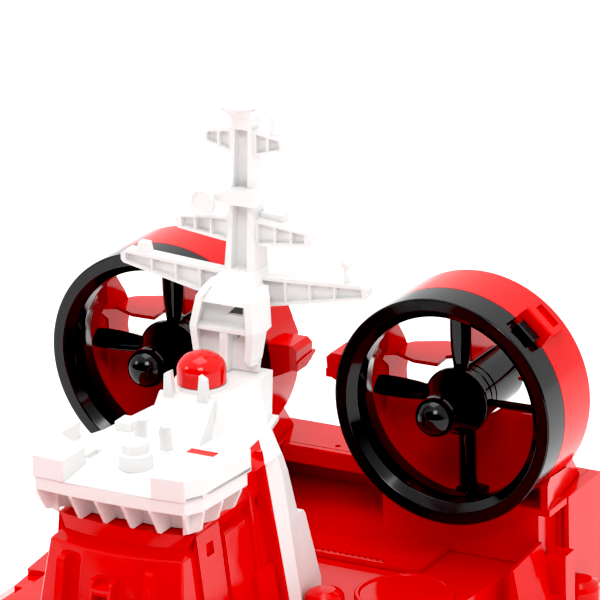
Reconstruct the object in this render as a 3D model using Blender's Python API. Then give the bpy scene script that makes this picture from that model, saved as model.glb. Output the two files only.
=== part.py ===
"""Toy hovercraft in red, white and black gloss plastic, with two ducted propellers.

Sizes are in millimetres and are turned into metres when a mesh is made.
X points to port, Y points aft, Z points up. The origin lies on the floor,
at the middle of the footprint.
"""
import math

import bmesh
import bpy
import numpy as np
from mathutils import Matrix, Vector

MM = 0.001

# Gap kept between pieces that touch.
GAP = 0.3

# Skirt, hull and the deck tier on it. The deck's sides close in towards the bow.
HULL_HALF_LENGTH = 260.0
SKIRT_HALF_WIDTH = 125.0
HULL_HALF_WIDTH = 120.0
HULL_BOTTOM_Z = 26.0
SHELF_Z = 38.0
SHOULDER = 10.0
DECK_Z = 60.5
DECK_TAPER_FROM_Y = 172.0
DECK_TAPER_HALF = 97.1
DECK_TAPER = 0.1
BOW_CORNER = 62.0
STERN_CORNER = 14.0
FINGER_COUNT = 78
FINGER_DEPTH = 2.2

# Side houses, cradles and stern beam, which share one top level.
HOUSE_TOP_Z = 87.0
WALL_INNER_X = 106.6
WALL_OUTER_X = 112.0
WALL_FRONT_Y = 204.0
CRADLE_FRONT_Y = 186.5
BEAM_FRONT_Y = 211.0
BEAM_REAR_Y = 236.5
BEAM_THICK = 8.0

# Cradle sections, measured sideways from the fan's axis.
CRADLE_INNER = 41.3
CRADLE_OUTER = 36.9
CHEEK_FRONT = 41.3
CHEEK_CLOSING = 0.127
CHEEK_THICK = 3.5

# Ducted propellers: axis at FAN_X, FAN_Z, along Y. Front face of the black ring at FAN_Y.
FAN_X = 69.4
FAN_Z = 130.0
FAN_Y = 170.0
RING_RADIUS = 50.0
RING_BORE = 40.0
RING_LIP = 39.4
RING_DEPTH = 15.2
SLEEVE_REAR_Y = 20.5
DUCT_DEPTH = 25.2
DUCT_BORE = 47.0
LATCH_ANGLE = 47.0
HUB_RADIUS = 14.8
HUB_RIM_Y = 14.5
HUB_REAR_Y = 23.0
BLADE_TIP = 39.4
BLADE_Y = 19.8
PIN_RADIUS = 2.0
NACELLE_RADIUS = 12.6
NACELLE_FRONT_Y = 23.6
NACELLE_LENGTH = 33.4
BULKHEAD_Y = 37.0
BULKHEAD_TOP = -10.0

# Bridge tower. Its lower box flares towards the deck, to the front and to the sides.
TOWER_HALF_WIDTH = 30.6
TOWER_FRONT_Y = 20.0
TOWER_SHOULDER_Z = 113.5
SIDE_FLARE = 0.107
FRONT_FLARE = 0.217
JOINT_BREAK_Z = 125.5
JOINT_BREAK_Y = 83.6
COLLAR_BOTTOM_Z = 126.7
LIP_BOTTOM_Z = 134.4
LIP_TOP_Z = 140.2
COAMING_TOP_Z = 149.8
BRIDGE_FLOOR_Z = 142.5
BRIDGE_HALF_WIDTH = 35.0
BRIDGE_FRONT_Y = 16.5

# White stand under the dome, the dome and the mast.
STAND_TOP_Z = 158.0
DOME_Y = 93.0
DOME_BASE_Z = 159.9
DOME_RADIUS = 10.2
DOME_HEIGHT = 13.0
MAST_TOP_Z = 268.0

SMOOTH_ANGLE = math.radians(35)


def material(name, colour, roughness, metallic=0.0):
    made = bpy.data.materials.new(name)
    made.use_nodes = True
    shader = made.node_tree.nodes["Principled BSDF"]
    shader.inputs["Base Color"].default_value = (*colour, 1.0)
    shader.inputs["Roughness"].default_value = roughness
    shader.inputs["Metallic"].default_value = metallic
    made.diffuse_color = (*colour, 1.0)
    return made


def clear_scene():
    for old in list(bpy.data.objects):
        bpy.data.objects.remove(old, do_unlink=True)


def add(name, bm, paint, at=(0.0, 0.0, 0.0), parent=None):
    """Turn a bmesh in millimetres into a named object placed at a point in millimetres."""
    bmesh.ops.scale(bm, vec=(MM, MM, MM), verts=bm.verts)
    bmesh.ops.recalc_face_normals(bm, faces=bm.faces)
    mesh = bpy.data.meshes.new(name)
    bm.to_mesh(mesh)
    bm.free()
    mesh.shade_smooth()
    mesh.set_sharp_from_angle(angle=SMOOTH_ANGLE)
    mesh.materials.append(paint)
    made = bpy.data.objects.new(name, mesh)
    made.location = Vector(at) * MM
    made.parent = parent
    bpy.context.collection.objects.link(made)
    return made


def helper(bm, at=(0.0, 0.0, 0.0)):
    """A cutter or an adder: it shapes another object and isn't part of the model."""
    made = add("shaper", bm, PAINT["guide"], at)
    made.hide_render = True
    made.display_type = "WIRE"
    return made


def combine(target, operation, shapers):
    for shaper in shapers:
        step = target.modifiers.new(operation.lower(), "BOOLEAN")
        step.operation = operation
        step.object = shaper


def loft(rings):
    """Closed solid through rings of equal count, with flat ends."""
    bm = bmesh.new()
    rows = [[bm.verts.new(point) for point in ring] for ring in rings]
    count = len(rows[0])
    for low, high in zip(rows, rows[1:]):
        for i in range(count):
            j = (i + 1) % count
            bm.faces.new((low[i], low[j], high[j], high[i]))
    bm.faces.new(rows[0][::-1])
    bm.faces.new(rows[-1])
    return bm


def block(x0, x1, y0, y1, z0, z1):
    """Box between two corners, given in any order."""
    (x0, x1), (y0, y1), (z0, z1) = sorted((x0, x1)), sorted((y0, y1)), sorted((z0, z1))
    ring = [(x0, y0), (x1, y0), (x1, y1), (x0, y1)]
    return loft([[(x, y, z) for x, y in ring] for z in (z0, z1)])


def prism(outline, axis, start, end):
    """Outline pushed along an axis: the pair holds the two other coordinates in X, Y, Z order."""
    order = {"x": lambda a, b, s: (s, a, b), "y": lambda a, b, s: (a, s, b), "z": lambda a, b, s: (a, b, s)}
    place = order[axis]
    return loft([[place(a, b, s) for a, b in outline] for s in (start, end)])


def mirrored(outline):
    """Right half of an outline in X and a second coordinate, completed by its mirror image."""
    left = [(-x, y) for x, y in reversed(outline) if x > 0]
    return outline + left


def tapered(levels):
    """Upright solid with rectangular levels: (z, x0, x1, y0, y1, corner chamfer)."""
    rings = []
    for z, x0, x1, y0, y1, cut in levels:
        x0, x1 = sorted((x0, x1))
        flat = [(x0 + cut, y0), (x1 - cut, y0), (x1, y0 + cut), (x1, y1 - cut),
                (x1 - cut, y1), (x0 + cut, y1), (x0, y1 - cut), (x0, y0 + cut)]
        rings.append([(x, y, z) for x, y in flat])
    return loft(rings)


def turned(profile, steps, axis="z"):
    """Profile of (radius, height) turned once; it starts and ends on the axis or closes on itself."""
    bm = bmesh.new()
    closed = profile[0][0] > 0
    rows = []
    for radius, height in profile:
        if radius == 0:
            rows.append([bm.verts.new((0, 0, height))])
            continue
        angles = [2 * math.pi * k / steps for k in range(steps)]
        rows.append([bm.verts.new((radius * math.cos(a), radius * math.sin(a), height)) for a in angles])
    pairs = list(zip(rows, rows[1:]))
    if closed:
        pairs.append((rows[-1], rows[0]))
    for low, high in pairs:
        for i in range(steps):
            j = (i + 1) % steps
            if len(low) == 1:
                bm.faces.new((low[0], high[j], high[i]))
            elif len(high) == 1:
                bm.faces.new((low[i], low[j], high[0]))
            else:
                bm.faces.new((low[i], low[j], high[j], high[i]))
    if axis == "y":
        bmesh.ops.rotate(bm, matrix=Matrix.Rotation(math.radians(-90), 3, "X"), verts=bm.verts)
    return bm


def rounded_plan(half_x, front_y, rear_y, front_cut, rear_cut, arc=4):
    """Hull plan: a rectangle whose bow and stern corners are cut by arcs."""
    corners = [(half_x, rear_y, rear_cut, 0), (-half_x, rear_y, rear_cut, 90),
               (-half_x, front_y, front_cut, 180), (half_x, front_y, front_cut, 270)]
    outline = []
    for x, y, cut, start in corners:
        centre_x = x - math.copysign(cut, x)
        centre_y = y - math.copysign(cut, y)
        for k in range(arc + 1):
            a = math.radians(start + 90.0 * k / arc)
            outline.append((centre_x + cut * math.cos(a), centre_y + cut * math.sin(a)))
    return outline


def evenly(outline, count):
    """Points at equal steps along a closed outline, with the outward direction at each."""
    points = np.array(outline + outline[:1])
    steps = np.hypot(*np.diff(points, axis=0).T)
    along = np.concatenate(([0.0], np.cumsum(steps)))
    at = np.linspace(0.0, along[-1], count, endpoint=False)
    even = np.column_stack([np.interp(at, along, points[:, k]) for k in (0, 1)])
    tangent = np.roll(even, -1, axis=0) - np.roll(even, 1, axis=0)
    tangent /= np.hypot(*tangent.T)[:, None]
    return even, np.column_stack([tangent[:, 1], -tangent[:, 0]])


def make_skirt():
    """Black skirt: a moulded bag round the hull with folded fingers under it, open underneath."""
    rows_of_section = [
        # inset from the outer line, height, share of the finger folds
        (2.1, 25.7, 0.0),
        (0.2, 20.0, 0.0),
        (0.0, 15.5, 0.0),
        (1.8, 12.0, 1.0),
        (5.7, 0.0, 1.0),
        (20.3, 0.0, 0.0),
        (26.0, 14.1, 0.0),
        (21.8, 25.7, 0.0),
    ]
    outline = rounded_plan(SKIRT_HALF_WIDTH, -HULL_HALF_LENGTH, HULL_HALF_LENGTH,
                           BOW_CORNER + 10.0, STERN_CORNER + 14.0, 24)
    points, outward = evenly(outline, 2 * FINGER_COUNT)
    fold = np.tile((0.0, FINGER_DEPTH), FINGER_COUNT)
    bm = bmesh.new()
    rows = []
    for inset, height, share in rows_of_section:
        plan = points - outward * (inset + share * fold)[:, None]
        rows.append([bm.verts.new((x, y, height)) for x, y in plan])
    count = len(rows[0])
    for low, high in zip(rows, rows[1:] + rows[:1]):
        for i in range(count):
            j = (i + 1) % count
            bm.faces.new((low[i], low[j], high[j], high[i]))
    return add("skirt", bm, PAINT["black"])


def make_hull():
    """Lower hull: a closed box with a sloping shoulder all round its top."""
    levels = [(HULL_BOTTOM_Z, 3.0), (HULL_BOTTOM_Z + 4.0, 0.0), (SHELF_Z - 5.0, 0.0), (SHELF_Z, SHOULDER)]
    rings = []
    for z, inset in levels:
        plan = rounded_plan(HULL_HALF_WIDTH - inset, -HULL_HALF_LENGTH + 5.0 + inset,
                            HULL_HALF_LENGTH - 5.0 - inset, BOW_CORNER + 6.0 - inset, STERN_CORNER + 12.0 - inset, 6)
        rings.append([(x, y, z) for x, y in plan])
    return add("hull", loft(rings), PAINT["red"])


def deck_half(y):
    """Half width of the deck tier ahead of the side houses."""
    return DECK_TAPER_HALF - DECK_TAPER * (DECK_TAPER_FROM_Y - y)


def make_main_deck():
    """Deck tier on the hull: stepped along both edges beside the tower, with a round sponson each side."""
    right = [(0.0, -236.0), (30.0, -233.0), (52.0, -214.0), (64.0, -182.0), (deck_half(-120.0), -120.0),
             (deck_half(DECK_TAPER_FROM_Y), DECK_TAPER_FROM_Y), (101.5, DECK_TAPER_FROM_Y), (101.5, 240.0),
             (93.0, 249.0)]
    deck = add("main_deck", prism(mirrored(right), "z", SHELF_Z + GAP, DECK_Z), PAINT["red"])
    steps = [
        # front y, rear y, level, inner x of its floor, inner x where its slope meets the deck
        (-250.0, 81.0, 52.9, 89.5, 80.0),
        (80.0, 94.0, 57.8, 83.0, 79.0),
    ]
    cutters = []
    for side in (-1, 1):
        for front, rear, level, floor_x, slope_x in steps:
            outline = [(side * slope_x, DECK_Z + 0.1), (side * floor_x, level), (side * 140.0, level),
                       (side * 140.0, DECK_Z + 9.0), (side * slope_x, DECK_Z + 9.0)]
            cutters.append(helper(prism(outline, "y", front, rear)))
    combine(deck, "DIFFERENCE", cutters)
    profile = [(0, SHELF_Z + GAP), (18.0, SHELF_Z + GAP), (18.0, 52.0), (16.8, 54.2), (13.5, 55.6), (0, 56.6)]
    sponsons = [helper(turned(profile, 32), (side * 76.5, 50.0, 0.0)) for side in (-1, 1)]
    combine(deck, "UNION", sponsons)
    return deck


def make_foredeck():
    """Raised plate on the foredeck with a coaming round a covered hatch."""
    right = [(0.0, -214.0), (26.0, -210.0), (44.0, -190.0), (54.0, -150.0), (56.0, -24.0), (50.0, -18.0)]
    plate = add("foredeck", prism(mirrored(right), "z", DECK_Z + GAP, DECK_Z + 4.0), PAINT["red"])
    coaming = helper(tapered([(DECK_Z + 3.0, -36.0, 36.0, -150.0, -50.0, 8.0),
                              (DECK_Z + 9.0, -34.5, 34.5, -148.5, -51.5, 8.0)]))
    well = helper(tapered([(DECK_Z + 6.5, -31.0, 31.0, -145.0, -55.0, 6.0),
                           (DECK_Z + 12.0, -31.0, 31.0, -145.0, -55.0, 6.0)]))
    combine(plate, "UNION", [coaming])
    combine(plate, "DIFFERENCE", [well])
    return plate


def make_side_wall(side, name):
    """Outer wall beside the duct, with an arch-topped bracket, a sloping buttress and a round cap before it."""
    foot = 30.0
    wall = add(name, block(side * WALL_INNER_X, side * WALL_OUTER_X, WALL_FRONT_Y, BEAM_REAR_Y - GAP,
                           foot, HOUSE_TOP_Z), PAINT["red"])
    plinth = block(side * WALL_INNER_X, side * WALL_OUTER_X, CRADLE_FRONT_Y, WALL_FRONT_Y + 1.0, foot, 52.0)
    arch = [(WALL_INNER_X, foot), (WALL_INNER_X, 62.0), (WALL_INNER_X + 1.6, 65.6), (WALL_INNER_X + 4.4, 67.9),
            (119.0, 67.9), (119.0, foot)]
    bracket = prism([(side * x, z) for x, z in arch], "y", 186.0, 195.0)
    ridge = [
        # y, ridge x, ridge z, foot x
        (165.0, 104.2, 67.0, 112.0),
        (186.2, 107.4, 72.5, 117.0),
    ]
    buttress = loft([[(side * 101.8, y, foot), (side * (x - 0.8), y, z), (side * (x + 0.6), y, z),
                      (side * base, y, foot)] for y, x, z, base in ridge])
    cap_profile = [(0, foot), (9.2, foot), (9.2, 44.5), (8.4, 46.6), (5.6, 48.2), (0, 48.8)]
    cap = turned(cap_profile, 24)
    combine(wall, "UNION", [helper(plinth), helper(bracket), helper(buttress),
                            helper(cap, (side * 114.2, 209.0, 0.0))])
    shoulder_x = HULL_HALF_WIDTH - SHOULDER
    shoulder = [(90.0, SHELF_Z + GAP), (shoulder_x, SHELF_Z + GAP), (HULL_HALF_WIDTH + 10.0, SHELF_Z - SHOULDER + GAP),
                (HULL_HALF_WIDTH + 10.0, 10.0), (90.0, 10.0)]
    slot = block(side * 108.2, side * 110.0, WALL_FRONT_Y - 1.0, WALL_FRONT_Y + 2.4, 53.0, 84.5)
    niche = [(110.0, 50.0), (110.0, 60.0), (111.2, 62.8), (113.2, 64.0), (115.4, 62.8), (116.4, 60.0), (116.4, 50.0)]
    recess = prism([(side * x, z) for x, z in niche], "y", 185.0, 187.3)
    combine(wall, "DIFFERENCE", [helper(prism([(side * x, z) for x, z in shoulder], "y", 150.0, 250.0)),
                                 helper(slot), helper(recess)])
    return wall


def make_stern_beam():
    """Cross-beam behind the cradles, from one outer wall to the other."""
    half = WALL_INNER_X - GAP
    beam = add("stern_beam", block(-half, half, BEAM_FRONT_Y, BEAM_REAR_Y, DECK_Z + GAP, HOUSE_TOP_Z), PAINT["red"])
    tunnel = helper(block(-60.0, 60.0, BEAM_FRONT_Y - 1.0, BEAM_REAR_Y - 4.0, DECK_Z - 1.0,
                          HOUSE_TOP_Z - BEAM_THICK))
    pin_hole = helper(turned([(0, HOUSE_TOP_Z - 3.0), (1.3, HOUSE_TOP_Z - 3.0), (1.3, HOUSE_TOP_Z + 2.0),
                              (0, HOUSE_TOP_Z + 2.0)], 12), (-4.0, 214.9, 0.0))
    combine(beam, "DIFFERENCE", [tunnel, pin_hole])
    return beam


def make_rear_deck():
    """Raised deck plate in front of the cradles, between them and under the beam."""
    inner = FAN_X - CRADLE_OUTER - GAP
    right = [(61.0, 156.8), (64.5, 159.5), (64.5, CRADLE_FRONT_Y - GAP), (inner, CRADLE_FRONT_Y - GAP),
             (inner, BEAM_FRONT_Y + GAP), (59.6, BEAM_FRONT_Y + GAP), (59.6, BEAM_REAR_Y - 4.3)]
    return add("rear_deck", prism(mirrored(right), "z", DECK_Z + GAP, DECK_Z + 2.8), PAINT["red"])


def make_deck_disc(side, name):
    """Round raised platform on the deck in front of each duct."""
    profile = [(0, 0), (23.2, 0), (23.2, 3.0), (22.4, 4.2), (20.8, 4.2), (20.0, 3.2), (0, 3.2)]
    return add(name, turned(profile, 48), PAINT["red"], (side * FAN_X, 134.5, DECK_Z + GAP))


def make_deck_vent(side, name):
    """Short round vent with a domed cap beside the foot of the white tower."""
    profile = [(0, 0), (7.6, 0), (7.6, 4.6), (8.3, 5.4), (8.3, 7.2), (7.2, 8.8), (4.6, 9.8), (0, 10.2)]
    return add(name, turned(profile, 24), PAINT["red"], (side * 46.7, 107.0, DECK_Z + GAP))


def tower_half(z):
    return TOWER_HALF_WIDTH + SIDE_FLARE * (TOWER_SHOULDER_Z - z)


def tower_rear(z):
    """Joint between the red tower and the white shell behind it: it leans forward more at the top."""
    if z > JOINT_BREAK_Z:
        return JOINT_BREAK_Y - 0.26 * (z - JOINT_BREAK_Z)
    return JOINT_BREAK_Y + 0.1 * (JOINT_BREAK_Z - z)


def shell_half(z):
    """Half width of the white shell at its joint with the red tower."""
    return 34.8 + 0.1 * max(0.0, JOINT_BREAK_Z - z)


def make_tower():
    """Red bridge tower: a flared box with a bowed front, ribs and panels, a neck, and a flange at the joint."""
    foot = DECK_Z + GAP
    levels = [
        # z, half width, y of the front corners, how far the front bows forward
        (foot, tower_half(foot), TOWER_FRONT_Y - FRONT_FLARE * (TOWER_SHOULDER_Z - foot), 4.8),
        (112.6, tower_half(112.6), TOWER_FRONT_Y - 0.2, 4.8),
        (TOWER_SHOULDER_Z, TOWER_HALF_WIDTH - 0.6, TOWER_FRONT_Y + 0.5, 4.6),
        (115.3, 28.4, 22.8, 4.0),
        (121.3, 31.2, 27.8, 3.4),
        (COLLAR_BOTTOM_Z - GAP, 31.0, 29.6, 3.0),
    ]
    rings = []
    for z, half, corner, bow in levels:
        right = [(0.0, corner - bow), (0.4 * half, corner - 0.84 * bow), (0.75 * half, corner - 0.44 * bow),
                 (half - 0.8, corner), (half, corner + 1.2), (half, tower_rear(z))]
        rings.append([(x, y, z) for x, y in mirrored(right)])
    tower = add("tower", loft(rings), PAINT["red"])
    low = foot + 1.0
    shapers = []
    for side in (-1, 1):
        panels = [
            # front y, rear y, top z, how far it stands out
            (29.8, 48.0, 121.6, 2.0),
            (51.2, 61.6, 114.4, 2.0),
            (73.6, 76.0, 123.6, 1.6),
            (77.6, 79.2, 123.6, 1.0),
        ]
        for front, back, top, proud in panels:
            outline = [(side * 20.0, low), (side * (tower_half(low) + proud), low),
                       (side * (tower_half(top) + proud), top - 1.0), (side * (tower_half(top) + proud - 1.0), top),
                       (side * 20.0, top)]
            shapers.append(helper(prism(outline, "y", front, back)))
        sill = [(side * 20.0, low), (side * (tower_half(low) + 2.6), low),
                (side * (tower_half(88.0) + 2.6), 88.0), (side * (tower_half(89.4) + 1.2), 89.4), (side * 20.0, 89.4)]
        shapers.append(helper(prism(sill, "y", 70.8, 85.2)))
        ribs = [
            # inner x, outer x, top z, front y at the top
            (18.4, 22.1, 110.4, 10.8),
            (3.4, 5.3, 103.8, 7.2),
        ]
        for inner, outer, top, front in ribs:
            lean = FRONT_FLARE * (top - low)
            outline = [(30.0, low), (front - lean, low), (front, top - 1.4), (front + 1.4, top), (30.0, top)]
            shapers.append(helper(prism(outline, "x", side * inner, side * outer)))
        cheek_top = LIP_TOP_Z - GAP
        cheek = [(62.6, 120.0), (tower_rear(120.0), 120.0), (tower_rear(JOINT_BREAK_Z), JOINT_BREAK_Z),
                 (tower_rear(cheek_top), cheek_top), (62.6, cheek_top)]
        shapers.append(helper(prism(cheek, "x", side * 28.8, side * 31.0)))
        flange = []
        for z in (foot, JOINT_BREAK_Z, cheek_top):
            near, far = tower_rear(z) - 1.8, tower_rear(z)
            flange.append([(side * x, y, z) for x, y in ((29.5, near), (shell_half(z), near), (shell_half(z), far), (29.5, far))])
        shapers.append(helper(loft(flange)))
    shapers.append(helper(block(-4.0, 4.0, 6.8, 30.0, 98.2, 101.3)))
    combine(tower, "UNION", shapers)
    windows = [helper(block(side * (tower_half(112.8) + 0.4), side * 40.0, 36.2, 41.8, 109.6, 115.0))
               for side in (-1, 1)]
    combine(tower, "DIFFERENCE", windows)
    return tower


def make_aft_tower():
    """White shell behind the red tower: its sides flare aft and down, with a tab along the deck behind it."""
    foot = DECK_Z + GAP
    levels = [
        # z, half width and y of the fold, half width and y at the rear
        (foot, 42.8, 96.8, 38.6, 104.0),
        (104.0, 38.9, 93.6, 37.4, 103.4),
        (JOINT_BREAK_Z, 37.0, 92.0, 36.4, 97.6),
        (LIP_BOTTOM_Z - GAP, 36.0, 89.8, 35.4, 94.8),
    ]
    rings = []
    for z, fold_half, fold_y, rear_half, rear_y in levels:
        right = [(shell_half(z), tower_rear(z) + GAP), (fold_half, fold_y), (rear_half, rear_y)]
        rings.append([(x, y, z) for x, y in mirrored(right)])
    body = add("aft_tower", loft(rings), PAINT["white"])
    tab = [(96.0, foot), (121.2, foot), (121.2, 69.0), (109.2, 102.4), (107.6, 104.4), (96.0, 104.4)]
    shapers = [helper(prism(tab, "x", -37.6, 37.6))]
    for side in (-1, 1):
        ear = [(130.0, side * 31.8, side * 35.0, 83.8, 94.2, 0.3), (139.9, side * 31.8, side * 35.0, 80.4, 92.0, 0.3)]
        shapers.append(helper(tapered(ear)))
    combine(body, "UNION", shapers)
    return body


def make_bridge_deck():
    """White bridge deck: a collar and fins under its lip, a coaming that is open in front, and deck fittings."""
    lip = [(0.0, 15.5), (19.0, 15.9), (34.4, 17.1), (38.8, 24.7), (41.0, 56.3), (34.0, 59.4), (28.5, 62.0), (28.5, 96.0)]
    tier = [(0.0, 14.9), (19.3, 15.3), (BRIDGE_HALF_WIDTH, BRIDGE_FRONT_Y), (39.4, 24.1), (41.9, 58.2), (39.3, 84.0),
            (31.0, 99.4), (24.5, 112.4)]
    collar = [(0.0, 22.4), (12.0, 22.9), (24.0, 24.0), (30.6, 25.4), (32.6, 27.6), (32.6, 56.0), (28.5, 60.0), (28.5, 79.0)]
    deck = add("bridge_deck", prism(mirrored(lip), "z", LIP_BOTTOM_Z, LIP_TOP_Z + 0.6), PAINT["white"])
    shapers = [helper(prism(mirrored(tier), "z", LIP_TOP_Z, COAMING_TOP_Z))]
    root = LIP_BOTTOM_Z + 0.5
    shapers.append(helper(prism(mirrored(collar), "z", COLLAR_BOTTOM_Z, root)))
    front_fin = [(17.3, root), (17.7, 133.6), (22.8, 124.2), (25.2, 124.2), (25.8, 128.0), (25.8, root)]
    corner_fin = [(18.6, root), (18.9, 133.6), (22.6, 125.6), (25.8, 125.6), (25.8, root)]
    for x in (-17.1, -6.0, 6.3, 18.9):
        shapers.append(helper(prism(front_fin, "x", x - 0.7, x + 0.7)))
    side_fin = [(31.6, root), (31.6, 126.0), (32.6, 125.0), (34.0, 125.0), (38.0, 133.4), (38.4, root)]
    for side in (-1, 1):
        shapers.append(helper(prism(corner_fin, "x", side * 33.0, side * 34.4)))
        for y in (25.6, 36.0, 47.0):
            shapers.append(helper(prism([(side * x, z) for x, z in side_fin], "y", y - 0.7, y + 0.7)))
    combine(deck, "UNION", shapers)
    well = [(20.0, 10.0), (20.0, 33.0), (32.0, 38.0), (36.4, 42.0), (36.4, 63.0), (33.0, 71.5), (33.0, 76.0)]
    low_front = [(20.0, 10.0), (20.0, 26.0)]
    aft = [(60.0, 74.0), (60.0, 130.0)]
    slot = block(10.4, 23.2, 60.0, 65.0, 130.0, 150.0)
    slit = block(27.0, 28.0, 40.0, 46.0, 138.0, 150.0)
    hatch = block(-24.0, -21.0, 38.0, 48.0, 139.0, 150.0)
    combine(deck, "DIFFERENCE", [helper(prism(mirrored(well), "z", BRIDGE_FLOOR_Z, 160.0)),
                                 helper(prism(mirrored(low_front), "z", LIP_TOP_Z + 0.5, 160.0)),
                                 helper(prism(mirrored(aft), "z", 144.0, 160.0)),
                                 helper(slot), helper(slit), helper(hatch)])
    capstan = [(0, 141.0), (7.0, 141.0), (7.0, 148.2), (5.4, 148.8), (5.4, 152.6), (4.6, 153.5), (3.0, 153.5),
               (2.6, 152.8), (0, 152.8)]
    fittings = [helper(turned(capstan, 24), (0.0, 38.5, 0.0)), helper(block(-30.0, -20.0, 66.0, 72.0, 141.0, 149.0))]
    for foot, bend, top in (((-11.5, 62.0), (-10.0, 60.0), (-6.5, 56.5)), ((1.6, 60.0), (3.0, 57.0), (6.0, 53.5))):
        rings = []
        for (x, y), z, radius in ((foot, 141.0, 2.6), (foot, 146.0, 2.6), (bend, 151.5, 2.5), (top, 156.0, 2.3)):
            rings.append([(x + radius * math.cos(a), y + radius * math.sin(a), z)
                          for a in (math.radians(36 * k) for k in range(10))])
        fittings.append(helper(loft(rings)))
    combine(deck, "UNION", fittings)
    return deck


def make_stand():
    """White tapered stand for the dome and the mast, with a low step under the dome and two pegs before it."""
    foot = [(0.0, 76.4), (9.0, 76.4), (15.0, 77.0), (29.3, 99.2), (24.0, 111.8)]
    top = [(0.0, 80.4), (6.4, 81.8), (11.6, 86.0), (18.2, 108.0), (17.6, 121.0)]
    stand = add("dome_stand", loft([[(x, y, z) for x, y in mirrored(plan)]
                                    for plan, z in ((foot, 144.0 + GAP), (top, STAND_TOP_Z))]), PAINT["white"])
    toe = [(66.0, 144.3), (78.0, 144.3), (82.0, 158.0), (80.6, 158.0)]
    pegs = []
    for side in (-1, 1):
        outline = [(side * 5.2, 150.0), (side * 10.6, 150.0), (side * 10.2, STAND_TOP_Z), (side * 9.7, 166.4),
                   (side * 6.8, 168.0), (side * 5.6, STAND_TOP_Z)]
        pegs.append(helper(prism(outline, "y", 78.9, 81.6)))
    step_top = DOME_BASE_Z - GAP
    step = turned([(0, 156.0), (DOME_RADIUS + 0.5, 156.0), (DOME_RADIUS + 0.5, step_top), (0, step_top)], 48)
    combine(stand, "UNION", [helper(prism(toe, "x", -13.0, 13.0)), helper(step, (0.0, DOME_Y, 0.0))] + pegs)
    return stand


def make_dome():
    """Red radar dome on the stand: a short drum with a low round cap."""
    shoulder = 5.8
    profile = [(0, 0), (DOME_RADIUS, 0), (DOME_RADIUS, shoulder)]
    for k in range(1, 8):
        a = math.radians(11.25 * k)
        profile.append((DOME_RADIUS * math.cos(a), shoulder + (DOME_HEIGHT - shoulder) * math.sin(a)))
    profile.append((0, DOME_HEIGHT))
    return add("dome", turned(profile, 48), PAINT["red"], (0, DOME_Y, DOME_BASE_Z))


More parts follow.
